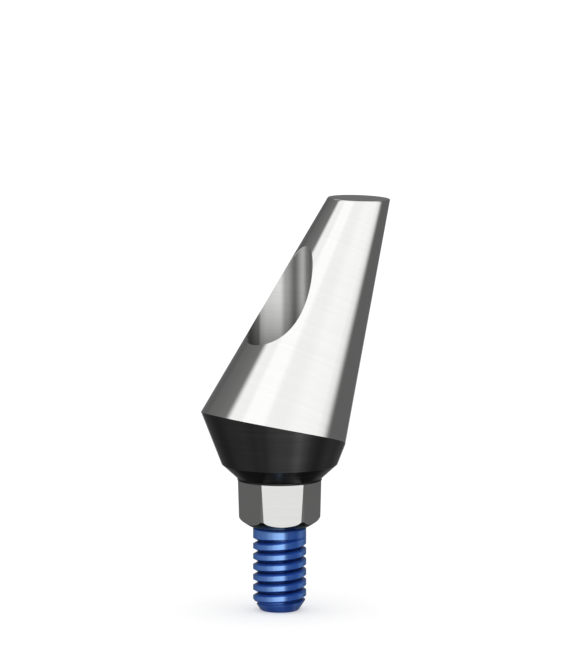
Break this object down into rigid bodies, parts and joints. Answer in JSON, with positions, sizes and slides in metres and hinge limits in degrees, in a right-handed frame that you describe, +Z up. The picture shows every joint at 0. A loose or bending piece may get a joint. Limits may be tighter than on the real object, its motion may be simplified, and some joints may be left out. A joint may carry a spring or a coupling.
{
  "type": "dental abutment",
  "caption": "Angled implant abutment: conical post leaning from a flared cuff over a hexagonal connection, with its fixing screw in a straight channel.",
  "frame": {"origin": "on the implant's axis, level with the cuff's lower rim", "axes": "+Z up the implant's axis towards the crown end, +X the way the post leans"},
  "size_m": [0.007, 0.0048, 0.0137],
  "materials": {
    "titanium": "finely turned and polished titanium, with a dark polished cuff, bevel and neck",
    "blue_anodised_titanium": "blue anodised titanium, satin"
  },
  "bodies": {
    "abutment": {"abutment_body": "titanium"},
    "screw": {"abutment_screw": "blue_anodised_titanium"}
  },
  "joints": [
    {"name": "screw_turn", "type": "hinge", "parent": "abutment", "child": "screw", "pos_m": [0, 0, 0], "axis": [0, 0, 1], "continuous": true}
  ]
}
